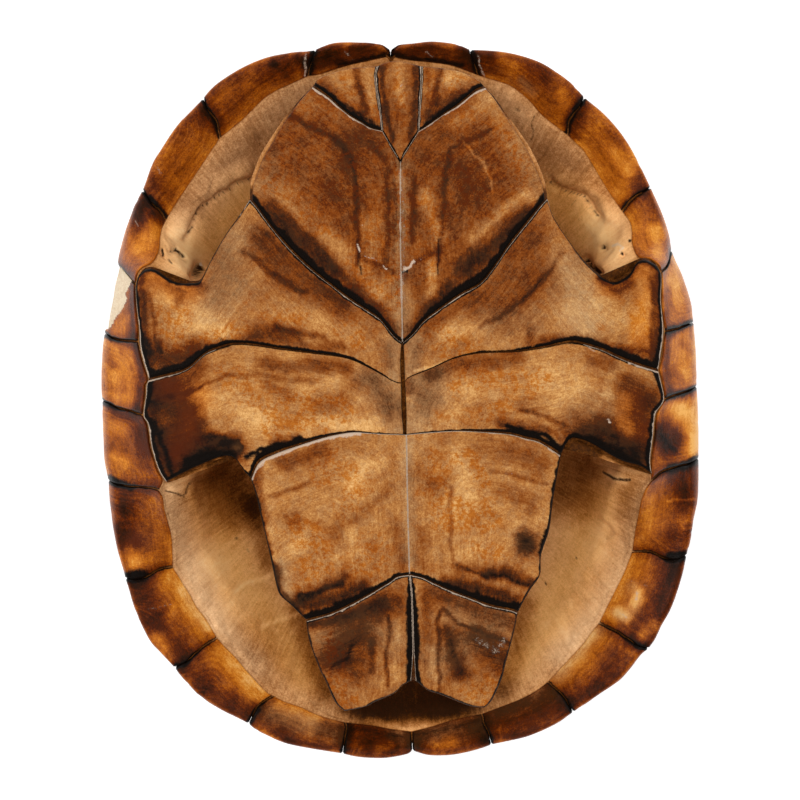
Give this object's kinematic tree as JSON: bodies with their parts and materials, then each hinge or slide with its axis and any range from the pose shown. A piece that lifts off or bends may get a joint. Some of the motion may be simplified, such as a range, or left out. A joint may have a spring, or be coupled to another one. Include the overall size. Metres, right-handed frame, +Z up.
{
  "type": "turtle shell",
  "caption": "Whole dried turtle shell, a bony bowl closed by a flat plate, both under thin horny scutes, open at the neck, the limbs and the tail.",
  "frame": {"origin": "middle of the bounding box's bottom, on the surface that the dome rests on", "axes": "the shell lies on its back: +Z is up, the way the plastron faces, +Y points to the head end, and +X is the animal's left, the right of the picture. Left and right in node names are those of the picture"},
  "size_m": [0.1584, 0.19, 0.066],
  "materials": {
    "bone": "matt dry bone, tan, darker in the hollows",
    "plastron_horn": "semi-gloss tan horn with brown stains and near-black seams",
    "rim_horn": "glossy amber to dark brown horn",
    "dome_horn": "semi-gloss dark brown horn with growth rings"
  },
  "bodies": {
    "root": {"carapace": "bone", "plastron": "bone", "intergular_scute": "plastron_horn", "gular_left_scute": "plastron_horn", "gular_right_scute": "plastron_horn", "humeral_left_scute": "plastron_horn", "humeral_right_scute": "plastron_horn", "pectoral_left_scute": "plastron_horn", "pectoral_right_scute": "plastron_horn", "abdominal_left_scute": "plastron_horn", "abdominal_right_scute": "plastron_horn", "femoral_left_scute": "plastron_horn", "femoral_right_scute": "plastron_horn", "anal_left_scute": "plastron_horn", "anal_right_scute": "plastron_horn", "marginal_left_1_scute": "rim_horn", "marginal_left_2_scute": "rim_horn", "marginal_left_3_scute": "rim_horn", "marginal_left_4_scute": "rim_horn", "marginal_left_5_scute": "rim_horn", "marginal_left_6_scute": "rim_horn", "marginal_left_7_scute": "rim_horn", "marginal_left_8_scute": "rim_horn", "marginal_left_9_scute": "rim_horn", "marginal_left_10_scute": "rim_horn", "marginal_left_11_scute": "rim_horn", "marginal_left_12_scute": "rim_horn", "marginal_right_1_scute": "rim_horn", "marginal_right_2_scute": "rim_horn", "marginal_right_3_scute": "rim_horn", "marginal_right_4_scute": "rim_horn", "marginal_right_5_scute": "rim_horn", "marginal_right_6_scute": "rim_horn", "marginal_right_7_scute": "rim_horn", "marginal_right_8_scute": "rim_horn", "marginal_right_9_scute": "rim_horn", "marginal_right_10_scute": "rim_horn", "marginal_right_11_scute": "rim_horn", "marginal_right_12_scute": "rim_horn", "vertebral_1_scute": "dome_horn", "vertebral_2_scute": "dome_horn", "vertebral_3_scute": "dome_horn", "vertebral_4_scute": "dome_horn", "vertebral_5_scute": "dome_horn", "costal_left_1_scute": "dome_horn", "costal_left_2_scute": "dome_horn", "costal_left_3_scute": "dome_horn", "costal_left_4_scute": "dome_horn", "costal_right_1_scute": "dome_horn", "costal_right_2_scute": "dome_horn", "costal_right_3_scute": "dome_horn", "costal_right_4_scute": "dome_horn"}
  },
  "joints": []
}
